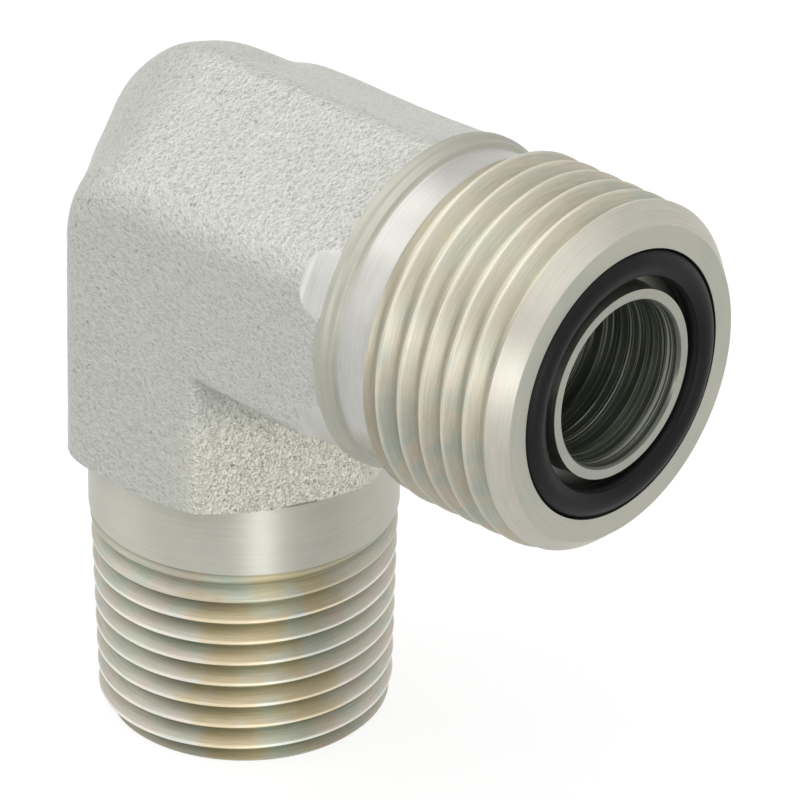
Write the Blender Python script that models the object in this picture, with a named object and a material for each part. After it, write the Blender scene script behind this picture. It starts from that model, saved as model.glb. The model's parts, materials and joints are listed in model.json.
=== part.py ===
"""Ninety degree hydraulic elbow adapter: a forged and turned steel body and its face seal ring."""
import math

import bmesh
import bpy
from mathutils import Matrix, Vector

mm = 0.001
join_step = 0.00001

# Legs, measured from the point where the two bore axes cross
face_seal_leg = 28.2 * mm
pipe_leg = 31.35 * mm

# Forged block, a six-sided section with its widest line on the parting plane
across_flats = 19.05 * mm
flat_half_height = 4.95 * mm
ridge_height = 9.7 * mm
flat_edge_radius = 1.6 * mm
ridge_radius = 1.3 * mm
elbow_corner_inset = 1.1 * mm
inner_corner_radius_flat = 1.2 * mm
inner_corner_radius_ridge = 3.0 * mm
face_seal_arm_end = 14.6 * mm
face_seal_arm_flare = 0.42 * mm
pipe_arm_end = 14.5 * mm
pipe_arm_flare = 0.25 * mm

# Turned ends of the forging
band_start = 12.6 * mm
band_shoulder = 13.15 * mm
band_start_radius = 11.2 * mm
band_radius = 10.1 * mm
band_end_radius = 9.84 * mm
end_cone_outer_radius = 12.2 * mm
end_cone_outer_z = -12.85 * mm
end_cone_inner_z = -14.15 * mm

# Face seal end, turned parts
collar_start = 14.4 * mm
collar_edge = 14.82 * mm
collar_radius = 9.86 * mm
collar_step = 15.02 * mm
collar_step_radius = 9.62 * mm
collar_end = 15.4 * mm
undercut_start = 15.6 * mm
undercut_radius = 9.27 * mm
thread_wall_start = 17.6 * mm
thread_wall_end = 18.37 * mm
nose_chamfer_length = 1.25 * mm
face_outer_radius = 9.22 * mm

# Straight thread, 13/16-16
straight_crest_radius = 10.29 * mm
straight_pitch = 1.5875 * mm
straight_depth = 0.95 * mm
straight_crest_flat = 0.2 * mm
straight_root_flat = 0.29 * mm
straight_crest_at_minus_y = 19.41 * mm
nose_fade_start = 26.55 * mm
nose_fade_end = 27.05 * mm

# Seal face and ring
lip_radius = 5.55 * mm
groove_mouth_radius = 7.92 * mm
groove_floor_radius = 8.35 * mm
groove_mouth_depth = 0.3 * mm
groove_flare_depth = 0.9 * mm
groove_depth = 1.6 * mm
ring_section_radius = 0.8 * mm
ring_side_clearance = 0.12 * mm
ring_floor_clearance = 0.35 * mm

# Pipe end, 3/8-18 taper thread
neck_radius = 8.84 * mm
neck_end = -18.42 * mm
taper_small_radius = 8.36 * mm
taper_per_length = 1.0 / 32.0
taper_pitch = 1.4111 * mm
taper_depth = 1.03 * mm
taper_crest_flat = 0.16 * mm
taper_root_flat = 0.16 * mm
taper_crest_z = -30.04 * mm
taper_crest_azimuth = math.radians(-45.0)
run_out_start = -21.0 * mm
run_out_depth = 0.35 * mm
pipe_chamfer = 0.6 * mm
pipe_bore_chamfer = 0.35 * mm

# Fluid way
face_seal_bore_radius = 4.88 * mm
pipe_bore_radius = 4.25 * mm
drill_tip_length = 2.6 * mm

# Overlap of solids that are joined, and how far a cutting solid runs past what it cuts
joint_overlap = 2.4 * mm
buried_radius = 8.0 * mm
blank_clearance = 0.3 * mm
cutter_overrun = 2.0 * mm
cutter_reach = 20.0 * mm

# Facets
turned_sides = 48
ring_section_sides = 14
outer_corner_steps = 8
inner_corner_steps = 5
edge_steps = 4
ridge_steps = 2

for old in list(bpy.data.objects):
    bpy.data.objects.remove(old, do_unlink=True)


def make_material(name, colour, roughness, metallic):
    material = bpy.data.materials.new(name)
    material.use_nodes = True
    shader = material.node_tree.nodes["Principled BSDF"]
    shader.inputs["Base Color"].default_value = (*colour, 1.0)
    shader.inputs["Roughness"].default_value = roughness
    shader.inputs["Metallic"].default_value = metallic
    material.diffuse_color = (*colour, 1.0)
    return material


def make_object(name, bm):
    bmesh.ops.recalc_face_normals(bm, faces=bm.faces)
    mesh = bpy.data.meshes.new(name)
    bm.to_mesh(mesh)
    bm.free()
    obj = bpy.data.objects.new(name, mesh)
    bpy.context.scene.collection.objects.link(obj)
    return obj


def tidy(obj):
    """Merge the slivers that a Boolean leaves where faces meet."""
    bm = bmesh.new()
    bm.from_mesh(obj.data)
    bmesh.ops.remove_doubles(bm, verts=bm.verts, dist=join_step)
    bmesh.ops.dissolve_degenerate(bm, edges=bm.edges, dist=join_step)
    bmesh.ops.recalc_face_normals(bm, faces=bm.faces)
    bm.to_mesh(obj.data)
    bm.free()


def combine(target, tool, operation):
    """Apply one exact Boolean to the target and remove the tool."""
    modifier = target.modifiers.new(operation.title(), "BOOLEAN")
    modifier.operation = operation
    modifier.solver = "EXACT"
    modifier.object = tool
    bpy.context.view_layer.objects.active = target
    bpy.ops.object.modifier_apply(modifier=modifier.name)
    bpy.data.objects.remove(tool, do_unlink=True)
    tidy(target)


def round_corner(before, corner, after, radius, steps):
    """Points of the arc that rounds one corner of a profile."""
    start = (Vector(before) - Vector(corner)).normalized()
    end = (Vector(after) - Vector(corner)).normalized()
    half_angle = start.angle(end) / 2.0
    reach = radius / math.tan(half_angle)
    middle = (start + end).normalized()
    centre = Vector(corner) + middle * (radius / math.sin(half_angle))
    first = Vector(corner) + start * reach - centre
    turn = math.pi - 2.0 * half_angle
    side = 1.0 if first.cross(end) > 0.0 else -1.0
    points = []
    for i in range(steps + 1):
        spin = Matrix.Rotation(side * turn * i / steps, 2)
        points.append(centre + spin @ first)
    return points


def arc(centre_x, centre_z, radius, start, end, steps):
    points = []
    for i in range(steps + 1):
        angle = math.radians(start + (end - start) * i / steps)
        points.append((centre_x + radius * math.cos(angle), centre_z + radius * math.sin(angle)))
    return points


def section_levels():
    """Half height of the forged section at each distance from the parting plane."""
    half_width = across_flats / 2.0
    flat_corner = (-half_width, flat_half_height)
    ridge = (0.0, ridge_height)
    near = round_corner((-half_width, 0.0), flat_corner, ridge, flat_edge_radius, edge_steps)
    top = round_corner(flat_corner, ridge, (half_width, flat_half_height), ridge_radius, 2 * ridge_steps)
    left = [(p.x, p.y) for p in near] + [(p.x, p.y) for p in top[:ridge_steps]]
    middle = [(0.0, top[ridge_steps].y)]
    right = [(-y, height) for y, height in reversed(left)]
    return left + middle + right


def elbow_outline(height):
    """Outline of the forged elbow, cut parallel to the plane of its two axes."""
    share = (height - flat_half_height) / (ridge_height - flat_half_height)
    share = min(max(share, 0.0), 1.0)
    inner_radius = inner_corner_radius_flat
    inner_radius += share * (inner_corner_radius_ridge - inner_corner_radius_flat)
    wide_x = height + face_seal_arm_flare
    wide_z = height + pipe_arm_flare
    inset = elbow_corner_inset
    points = [(face_seal_arm_end, wide_x)]
    points += arc(-inset, inset, height - inset, 90.0, 180.0, outer_corner_steps)
    points += [(-wide_z, -pipe_arm_end), (wide_z, -pipe_arm_end)]
    points += arc(height + inner_radius, -height - inner_radius, inner_radius, 180.0, 90.0, inner_corner_steps)
    points += [(face_seal_arm_end, -wide_x)]
    return points


def forged_block():
    """Loft the elbow outline through the levels of the section."""
    bm = bmesh.new()
    loops = []
    for y, height in section_levels():
        loops.append([bm.verts.new((x, y, z)) for x, z in elbow_outline(height)])
    for low, high in zip(loops, loops[1:]):
        for i in range(len(low)):
            j = (i + 1) % len(low)
            bm.faces.new((low[i], low[j], high[j], high[i]))
    bm.faces.new(loops[0])
    bm.faces.new(list(reversed(loops[-1])))
    return make_object("forged_block", bm)


def turned(name, profile, axis, closed=False):
    """Spin a profile of (place along the axis, radius) pairs round the X or the Z axis."""
    bm = bmesh.new()
    along = Vector((1.0, 0.0, 0.0)) if axis == "X" else Vector((0.0, 0.0, 1.0))
    out = Vector((0.0, -1.0, 0.0))
    verts = [bm.verts.new(along * place + out * radius) for place, radius in profile]
    pairs = list(zip(verts, verts[1:]))
    if closed:
        pairs.append((verts[-1], verts[0]))
    edges = [bm.edges.new(pair) for pair in pairs]
    bmesh.ops.spin(bm, geom=verts + edges, cent=(0.0, 0.0, 0.0), axis=along,
                   angle=2.0 * math.pi, steps=turned_sides, use_merge=True)
    bmesh.ops.remove_doubles(bm, verts=bm.verts, dist=join_step)
    return make_object(name, bm)


def thread_profile(pitch, crest_flat, root_flat):
    """Places along one pitch of a 60 degree thread, each with its share of the thread depth."""
    flank = (pitch - crest_flat - root_flat) / 2.0
    return [
        (-crest_flat / 2.0, 0.0),
        (crest_flat / 2.0, 0.0),
        (crest_flat / 2.0 + flank, 1.0),
        (crest_flat / 2.0 + flank + root_flat, 1.0),
    ]


def threaded_rod(name, axis, span, pitch, profile, crest, crest_radius, depth):
    """Closed right-hand threaded rod; the place along the axis sets its crest radius and each groove's depth."""
    bm = bmesh.new()
    crest_place, crest_angle = crest
    first_turn = math.floor((span[0] - crest_place) / pitch) - 2
    last_turn = math.ceil((span[1] - crest_place) / pitch) + 1
    grid = []
    for i in range(turned_sides):
        angle = crest_angle + 2.0 * math.pi * i / turned_sides
        lead = pitch * i / turned_sides
        column = []
        for turn in range(first_turn, last_turn + 1):
            crest_here = crest_place + turn * pitch + lead
            groove_here = crest_here + pitch / 2.0
            for offset, share in profile:
                place = crest_here + offset
                radius = crest_radius(place) - share * depth(groove_here)
                across = (radius * math.cos(angle), radius * math.sin(angle))
                point = (place, *across) if axis == "X" else (*across, place)
                column.append(bm.verts.new(point))
        grid.append(column)
    rows = len(grid[0])
    grid.append(grid[0][len(profile):])
    for left, right in zip(grid, grid[1:]):
        for k in range(min(len(left), len(right), rows) - 1):
            bm.faces.new((left[k], left[k + 1], right[k + 1], right[k]))
    along = 0 if axis == "X" else 2
    middle = (span[0] + span[1]) / 2.0
    rims = ([], [])
    for edge in bm.edges:
        if edge.is_boundary:
            rims[edge.verts[0].co[along] > middle].append(edge)
    for rim in rims:
        centre = Vector()
        centre[along] = sum(edge.verts[0].co[along] for edge in rim) / len(rim)
        hub = bm.verts.new(centre)
        for edge in rim:
            bm.faces.new((edge.verts[0], edge.verts[1], hub))
    return make_object(name, bm)


def face_seal_end():
    """Collar, undercut and straight thread, turned round the X axis."""
    core_end = thread_wall_start + joint_overlap
    collar = turned("collar", [
        (buried_radius, 0.0),
        (buried_radius, buried_radius),
        (collar_start, buried_radius),
        (collar_start, collar_radius),
        (collar_edge, collar_radius),
        (collar_step, collar_step_radius),
        (collar_end, collar_step_radius),
        (undercut_start, undercut_radius),
        (core_end, undercut_radius),
        (core_end, 0.0),
    ], "X")
    clear = blank_clearance
    wall_slope = (thread_wall_end - thread_wall_start) / (straight_crest_radius - undercut_radius)
    chamfer_slope = nose_chamfer_length / (straight_crest_radius - face_outer_radius)
    blank = turned("thread_blank", [
        (thread_wall_start - clear, 0.0),
        (thread_wall_start - clear, undercut_radius - clear),
        (thread_wall_start - clear * wall_slope, undercut_radius - clear),
        (thread_wall_end + clear * wall_slope, straight_crest_radius + clear),
        (face_seal_leg - nose_chamfer_length - clear * chamfer_slope, straight_crest_radius + clear),
        (face_seal_leg, face_outer_radius),
        (face_seal_leg, 0.0),
    ], "X")

    def depth(groove_place):
        fade = (groove_place - nose_fade_start) / (nose_fade_end - nose_fade_start)
        return straight_depth * (1.0 - min(max(fade, 0.0), 1.0))

    rod = threaded_rod(
        "straight_thread", "X", (thread_wall_start - clear, face_seal_leg), straight_pitch,
        thread_profile(straight_pitch, straight_crest_flat, straight_root_flat),
        (straight_crest_at_minus_y, math.pi), lambda place: straight_crest_radius, depth)
    combine(rod, blank, "INTERSECT")
    combine(collar, rod, "UNION")
    return collar


def pipe_end():
    """Neck and taper thread, turned round the Z axis."""
    neck_top = end_cone_inner_z + joint_overlap
    neck = turned("neck", [
        (-buried_radius, 0.0),
        (-buried_radius, buried_radius),
        (neck_top, buried_radius),
        (neck_top, neck_radius),
        (neck_end, neck_radius),
        (neck_end, 0.0),
    ], "Z")
    thread_top = neck_end + blank_clearance
    end_radius = taper_small_radius - pipe_chamfer
    widest = neck_radius + blank_clearance
    blank = turned("taper_blank", [
        (thread_top, 0.0),
        (thread_top, widest),
        (-pipe_leg + widest - end_radius, widest),
        (-pipe_leg, end_radius),
        (-pipe_leg, 0.0),
    ], "Z")

    def crest_radius(place):
        return taper_small_radius + (place + pipe_leg) * taper_per_length

    def depth(groove_place):
        run = (groove_place - run_out_start) / (neck_end - run_out_start)
        run = min(max(run, 0.0), 1.0)
        return taper_depth + run * (run_out_depth - taper_depth)

    rod = threaded_rod(
        "taper_thread", "Z", (-pipe_leg, thread_top), taper_pitch,
        thread_profile(taper_pitch, taper_crest_flat, taper_root_flat),
        (taper_crest_z, taper_crest_azimuth), crest_radius, depth)
    combine(rod, blank, "INTERSECT")
    combine(neck, rod, "UNION")
    return neck


def band_cutter():
    """Ring that turns the corners of the forging down beside the collar."""
    past = face_seal_arm_end + cutter_overrun
    return turned("band_cutter", [
        (band_start, cutter_reach),
        (band_start, band_start_radius),
        (band_shoulder, band_radius),
        (face_seal_arm_end, band_end_radius),
        (past, band_end_radius),
        (past, cutter_reach),
    ], "X", closed=True)


def end_cone_cutter():
    """Ring that cones the lower end of the forging down to the neck."""
    slope = (end_cone_outer_z - end_cone_inner_z) / (end_cone_outer_radius - neck_radius)
    inner_radius = neck_radius - cutter_overrun
    past = -pipe_arm_end - cutter_overrun
    return turned("end_cone_cutter", [
        (end_cone_inner_z + (cutter_reach - neck_radius) * slope, cutter_reach),
        (end_cone_inner_z - cutter_overrun * slope, inner_radius),
        (past, inner_radius),
        (past, cutter_reach),
    ], "Z", closed=True)


def groove_cutter():
    """Half-dovetail seal groove in the end face."""
    past = face_seal_leg + cutter_overrun
    return turned("groove_cutter", [
        (past, lip_radius),
        (face_seal_leg - groove_depth, lip_radius),
        (face_seal_leg - groove_depth, groove_floor_radius),
        (face_seal_leg - groove_flare_depth, groove_floor_radius),
        (face_seal_leg - groove_mouth_depth, groove_mouth_radius),
        (past, groove_mouth_radius),
    ], "X", closed=True)


def elbow_body():
    """One forged steel piece with both ends turned, threaded and drilled."""
    body = forged_block()
    combine(body, band_cutter(), "DIFFERENCE")
    combine(body, end_cone_cutter(), "DIFFERENCE")
    combine(body, face_seal_end(), "UNION")
    combine(body, pipe_end(), "UNION")
    combine(body, groove_cutter(), "DIFFERENCE")
    past = cutter_overrun
    combine(body, turned("face_seal_drill", [
        (-drill_tip_length, 0.0),
        (0.0, face_seal_bore_radius),
        (face_seal_leg + past, face_seal_bore_radius),
        (face_seal_leg + past, 0.0),
    ], "X"), "DIFFERENCE")
    combine(body, turned("pipe_drill", [
        (drill_tip_length, 0.0),
        (0.0, pipe_bore_radius),
        (-pipe_leg + pipe_bore_chamfer, pipe_bore_radius),
        (-pipe_leg - past, pipe_bore_radius + pipe_bore_chamfer + past),
        (-pipe_leg - past, 0.0),
    ], "Z"), "DIFFERENCE")
    body.name = "elbow_body"
    return body


def seal_ring():
    """Round-section ring held in the groove and standing a little proud of the face."""
    bm = bmesh.new()
    centre_place = face_seal_leg - groove_depth + ring_floor_clearance + ring_section_radius
    centre_radius = groove_mouth_radius - ring_side_clearance - ring_section_radius
    verts = []
    for i in range(ring_section_sides):
        angle = 2.0 * math.pi * i / ring_section_sides
        place = centre_place + ring_section_radius * math.cos(angle)
        radius = centre_radius + ring_section_radius * math.sin(angle)
        verts.append(bm.verts.new((place, -radius, 0.0)))
    edges = [bm.edges.new((a, b)) for a, b in zip(verts, verts[1:] + verts[:1])]
    bmesh.ops.spin(bm, geom=verts + edges, cent=(0.0, 0.0, 0.0), axis=(1.0, 0.0, 0.0),
                   angle=2.0 * math.pi, steps=turned_sides, use_merge=True)
    return make_object("face_seal_ring", bm)


def finish(obj, material, sharp_angle):
    obj.data.name = obj.name
    obj.data.materials.clear()
    obj.data.materials.append(material)
    obj.data.shade_smooth()
    obj.data.set_sharp_from_angle(angle=math.radians(sharp_angle))


def stand_on_base(parts):
    """Move the whole part so that the middle of its base is the origin."""
    low = Vector(parts[0].data.vertices[0].co)
    high = low.copy()
    for part in parts:
        for vertex in part.data.vertices:
            for k in range(3):
                low[k] = min(low[k], vertex.co[k])
                high[k] = max(high[k], vertex.co[k])
    shift = Vector((-(low.x + high.x) / 2.0, -(low.y + high.y) / 2.0, -low.z))
    for part in parts:
        part.data.transform(Matrix.Translation(shift))
        part.data.update()


zinc = make_material("zinc_plated_steel", (0.62, 0.62, 0.57), 0.45, 0.9)
rubber = make_material("black_rubber", (0.02, 0.02, 0.022), 0.5, 0.0)
body_part = elbow_body()
ring_part = seal_ring()
finish(body_part, zinc, 30.0)
finish(ring_part, rubber, 60.0)
stand_on_base([body_part, ring_part])
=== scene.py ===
import json
import math

import bpy
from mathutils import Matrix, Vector

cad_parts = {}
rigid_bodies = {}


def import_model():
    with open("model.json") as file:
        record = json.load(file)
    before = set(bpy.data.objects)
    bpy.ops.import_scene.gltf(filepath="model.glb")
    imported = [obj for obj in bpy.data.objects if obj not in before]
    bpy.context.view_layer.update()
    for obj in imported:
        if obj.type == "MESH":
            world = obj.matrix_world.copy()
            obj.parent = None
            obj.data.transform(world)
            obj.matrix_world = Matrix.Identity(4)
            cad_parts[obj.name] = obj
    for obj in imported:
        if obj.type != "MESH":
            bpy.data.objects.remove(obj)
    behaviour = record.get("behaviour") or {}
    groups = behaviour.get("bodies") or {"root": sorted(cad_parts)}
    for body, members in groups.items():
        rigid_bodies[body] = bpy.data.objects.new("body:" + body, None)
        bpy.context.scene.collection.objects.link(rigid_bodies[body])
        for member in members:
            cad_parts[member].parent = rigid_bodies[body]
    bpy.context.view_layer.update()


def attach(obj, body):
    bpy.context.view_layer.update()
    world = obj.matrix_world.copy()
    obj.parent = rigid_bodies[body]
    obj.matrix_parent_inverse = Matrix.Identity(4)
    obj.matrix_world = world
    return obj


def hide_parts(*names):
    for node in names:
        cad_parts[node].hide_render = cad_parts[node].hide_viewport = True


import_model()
print("frame loaded")

mm = 0.001
mergeDistance = 0.001 * mm
turnSteps = 192  # faces round each turned surface
smoothAngle = 32.0  # edges sharper than this stay crisp
roundingLimit = 0.45  # the share of a neighbouring edge that a rounded corner may take
white = (1.0, 1.0, 1.0)
black = (0.0, 0.0, 0.0)
crossing = Vector((-9.382 * mm, 0.0, 31.35 * mm))  # where the two bore axes cross


def clearSelection():
    if bpy.context.object and bpy.context.object.mode != "OBJECT":
        bpy.ops.object.mode_set(mode="OBJECT")
    bpy.ops.object.select_all(action="DESELECT")


def makeActive(obj):
    clearSelection()
    obj.select_set(True)
    bpy.context.view_layer.objects.active = obj


def applyModifier(obj, modifier):
    makeActive(obj)
    bpy.ops.object.modifier_apply(modifier=modifier.name)


def fixNormals(obj):
    makeActive(obj)
    bpy.ops.object.mode_set(mode="EDIT")
    bpy.ops.mesh.select_all(action="SELECT")
    bpy.ops.mesh.remove_doubles(threshold=mergeDistance)
    bpy.ops.mesh.normals_make_consistent(inside=False)
    bpy.ops.object.mode_set(mode="OBJECT")


def selectVerts(obj, test):
    # leaves the object in edit mode with only the tested vertices selected
    makeActive(obj)
    bpy.ops.object.mode_set(mode="EDIT")
    bpy.ops.mesh.select_mode(type="VERT")
    bpy.ops.mesh.select_all(action="DESELECT")
    bpy.ops.object.mode_set(mode="OBJECT")
    for vertex in obj.data.vertices:
        vertex.select = test(vertex.co)
    bpy.ops.object.mode_set(mode="EDIT")


def selectEdges(obj, test):
    makeActive(obj)
    bpy.ops.object.mode_set(mode="EDIT")
    bpy.ops.mesh.select_all(action="DESELECT")
    bpy.ops.mesh.select_mode(type="EDGE")
    bpy.ops.object.mode_set(mode="OBJECT")
    points = obj.data.vertices
    for edge in obj.data.edges:
        edge.select = test(points[edge.vertices[0]].co, points[edge.vertices[1]].co)
    bpy.ops.object.mode_set(mode="EDIT")


def bevelEdges(obj, test, reach, segments, clamp=True):
    selectEdges(obj, test)
    bpy.ops.mesh.bevel(offset=reach * mm, segments=segments, affect="EDGES", clamp_overlap=clamp)
    bpy.ops.object.mode_set(mode="OBJECT")


def drawProfile(name, points, closed=False):
    # a single vertex pulled from point to point in the XZ plane, sizes in mm
    clearSelection()
    bpy.ops.mesh.primitive_plane_add(size=mm, location=(0.0, 0.0, 0.0))
    obj = bpy.context.object
    obj.name = name
    bpy.ops.object.mode_set(mode="EDIT")
    bpy.ops.mesh.select_mode(type="VERT")
    bpy.ops.mesh.select_all(action="SELECT")
    bpy.ops.mesh.merge(type="CENTER")
    bpy.ops.transform.translate(value=(points[0][0] * mm, 0.0, points[0][1] * mm))
    for (x, z), (nextX, nextZ) in zip(points, points[1:]):
        step = ((nextX - x) * mm, 0.0, (nextZ - z) * mm)
        bpy.ops.mesh.extrude_region_move(TRANSFORM_OT_translate={"value": step})
    if closed:
        ends = [Vector((x * mm, 0.0, z * mm)) for x, z in (points[0], points[-1])]
        selectVerts(obj, lambda co: min((co - end).length for end in ends) < 0.5 * mergeDistance)
        bpy.ops.mesh.edge_face_add()
    bpy.ops.object.mode_set(mode="OBJECT")
    return obj


def turnProfile(obj, axis, steps=turnSteps, pitch=0.0, turns=1):
    screw = obj.modifiers.new("turn", "SCREW")
    screw.axis = axis
    screw.angle = math.radians(360.0)
    screw.steps = steps
    screw.render_steps = steps
    screw.screw_offset = pitch * mm
    screw.iterations = turns
    screw.use_merge_vertices = pitch == 0.0
    screw.merge_threshold = mergeDistance
    applyModifier(obj, screw)
    fixNormals(obj)


def dress(obj, slot):
    # every solid carries the same list of finishes, so a Boolean keeps them apart
    for finish in finishes.values():
        obj.data.materials.append(finish)
    for face in obj.data.polygons:
        face.material_index = finishNames.index(slot)
    return obj


def combine(target, tool, operation):
    modifier = target.modifiers.new("combine", "BOOLEAN")
    modifier.operation = operation
    modifier.solver = "MANIFOLD"
    modifier.object = tool
    applyModifier(target, modifier)
    bpy.data.objects.remove(tool, do_unlink=True)


def settle(obj):
    # everything is drawn round the crossing of the bores; a finished mesh stands in the part's frame
    obj.location = crossing
    makeActive(obj)
    bpy.ops.object.transform_apply(location=True, rotation=True, scale=True)
    bpy.ops.object.shade_smooth_by_angle(angle=math.radians(smoothAngle))


def roundedPoints(points, steps=3):
    # a third number on a point of an open profile is the reach of its rounding
    result = []
    for i, (x, z, *rounding) in enumerate(points):
        if not rounding:
            result.append((x, z))
            continue
        corner = Vector((x, z))
        before = Vector(points[i - 1][:2]) - corner
        after = Vector(points[i + 1][:2]) - corner
        reach = min(rounding[0], roundingLimit * before.length, roundingLimit * after.length)
        start = corner + before.normalized() * reach
        end = corner + after.normalized() * reach
        for k in range(steps + 1):
            t = k / steps
            point = start * (1 - t) ** 2 + corner * 2 * t * (1 - t) + end * t ** 2
            result.append((point.x, point.y))
    return result


def shareBetween(value, start, full):
    return min(max((value - start) / (full - start), 0.0), 1.0)


def addNode(material, kind, **settings):
    node = material.node_tree.nodes.new("ShaderNode" + kind)
    for key, value in settings.items():
        setattr(node, key, value)
    return node


def wire(material, source, target):
    material.node_tree.links.new(source, target)


def fillNode(material, node, values):
    for socket, value in zip(node.inputs, values):
        if isinstance(value, (int, float, tuple)):
            socket.default_value = value
        else:
            wire(material, value, socket)
    return node.outputs[0]


def mathNode(material, operation, *values):
    return fillNode(material, addNode(material, "Math", operation=operation), values)


def vectorNode(material, operation, *values):
    return fillNode(material, addNode(material, "VectorMath", operation=operation), values)


def joinNode(material, *values):
    return fillNode(material, addNode(material, "CombineXYZ"), values)


def splitNode(material, vector):
    node = addNode(material, "SeparateXYZ")
    wire(material, vector, node.inputs[0])
    return node.outputs


def rangeNode(material, value, start, full, origin=0.0):
    # 0 up to start and 1 from full on, both in mm from the origin
    node = addNode(material, "MapRange", clamp=True)
    wire(material, value, node.inputs["Value"])
    node.inputs["From Min"].default_value = origin + start * mm
    node.inputs["From Max"].default_value = origin + full * mm
    return node.outputs["Result"]


def noiseNode(material, vector, scale, detail=2.0, roughness=0.5, output="Fac"):
    node = addNode(material, "TexNoise")
    wire(material, vector, node.inputs["Vector"])
    node.inputs["Scale"].default_value = scale
    node.inputs["Detail"].default_value = detail
    node.inputs["Roughness"].default_value = roughness
    return node.outputs[output]


def voronoiNode(material, vector, scale, smoothness):
    node = addNode(material, "TexVoronoi", feature="SMOOTH_F1")
    wire(material, vector, node.inputs["Vector"])
    node.inputs["Scale"].default_value = scale
    node.inputs["Smoothness"].default_value = smoothness
    return node.outputs["Distance"]


def rampNode(material, factor, stops):
    node = addNode(material, "ValToRGB")
    wire(material, factor, node.inputs["Fac"])
    ramp = node.color_ramp
    while len(ramp.elements) < len(stops):
        ramp.elements.new(0.5)
    for element, (position, colour) in zip(ramp.elements, stops):
        element.position = position
        element.color = (*colour, 1.0)
    return node.outputs["Color"]


def mixNode(material, factor, first, second, blendType="MIX"):
    node = addNode(material, "Mix", data_type="RGBA", blend_type=blendType)
    for socket, value in ((node.inputs[0], factor), (node.inputs[6], first), (node.inputs[7], second)):
        if isinstance(value, (int, float)):
            socket.default_value = value
        elif isinstance(value, tuple):
            socket.default_value = (*value, 1.0)
        else:
            wire(material, value, socket)
    return node.outputs[2]


def shadeNode(material, colour, shade):
    return mixNode(material, 1.0, colour, shade, "MULTIPLY")


def bumpNode(material, height, distance, below=None):
    node = addNode(material, "Bump")
    node.inputs["Strength"].default_value = 1.0
    node.inputs["Distance"].default_value = distance
    wire(material, height, node.inputs["Height"])
    if below is not None:
        wire(material, below, node.inputs["Normal"])
    return node.outputs["Normal"]


def newFinish(name, colour, roughness, metallic):
    material = bpy.data.materials.new(name)
    material.use_nodes = True
    material.diffuse_color = (*colour, 1.0)
    shader = material.node_tree.nodes["Principled BSDF"]
    shader.inputs["Base Color"].default_value = (*colour, 1.0)
    shader.inputs["Roughness"].default_value = roughness
    shader.inputs["Metallic"].default_value = metallic
    return material, shader


# shot-blasted forging skin under dull zinc; noise scales are per metre
blastedZinc = {
    "light": (0.655, 0.655, 0.61),
    "dark": (0.60, 0.605, 0.56),
    "pit": (0.42, 0.41, 0.36),
    "roughness": 0.4,
    "metallic": 0.4,
    "warpScale": 2600.0,
    "warp": 0.16 * mm,
    "craterScale": 3100.0,
    "craterSoftness": 0.7,
    "craterShare": 0.45,
    "craterDepth": 0.065 * mm,
    "dimpleScale": 6400.0,
    "dimpleSoftness": 0.6,
    "dimpleShare": 0.55,
    "dimpleDepth": 0.058 * mm,
    "paintedHollowShadeStops": [(0.15, (0.80, 0.80, 0.79)), (0.36, white), (0.6, (1.13, 1.13, 1.12))],
    "grainScale": 10500.0,
    "grainDepth": 0.04 * mm,
    "grainStops": [(0.3, (0.90, 0.90, 0.89)), (0.5, white), (0.7, (1.07, 1.07, 1.07))],
    "patchScale": 420.0,
    "pitScale": 2300.0,
    "pitStops": [(0.70, black), (0.77, white)],
    "coarseSkinAndSheenStart": (3.5, -6.5),
    "coarseSkinAndSheenFull": (6.0, -9.0),
    "creamAndPaintedSheenColour": (1.25, 1.23, 1.14),
    "coarseDepth": 1.0,
    "paintedCreaseShadeFade": (-2.6, -0.6),
    "paintedCreaseShadeEdge": 5.0,
    "paintedCreaseShadeSoftness": 0.4,
    "paintedCreaseShadeColour": (0.68, 0.69, 0.68),
}


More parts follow.
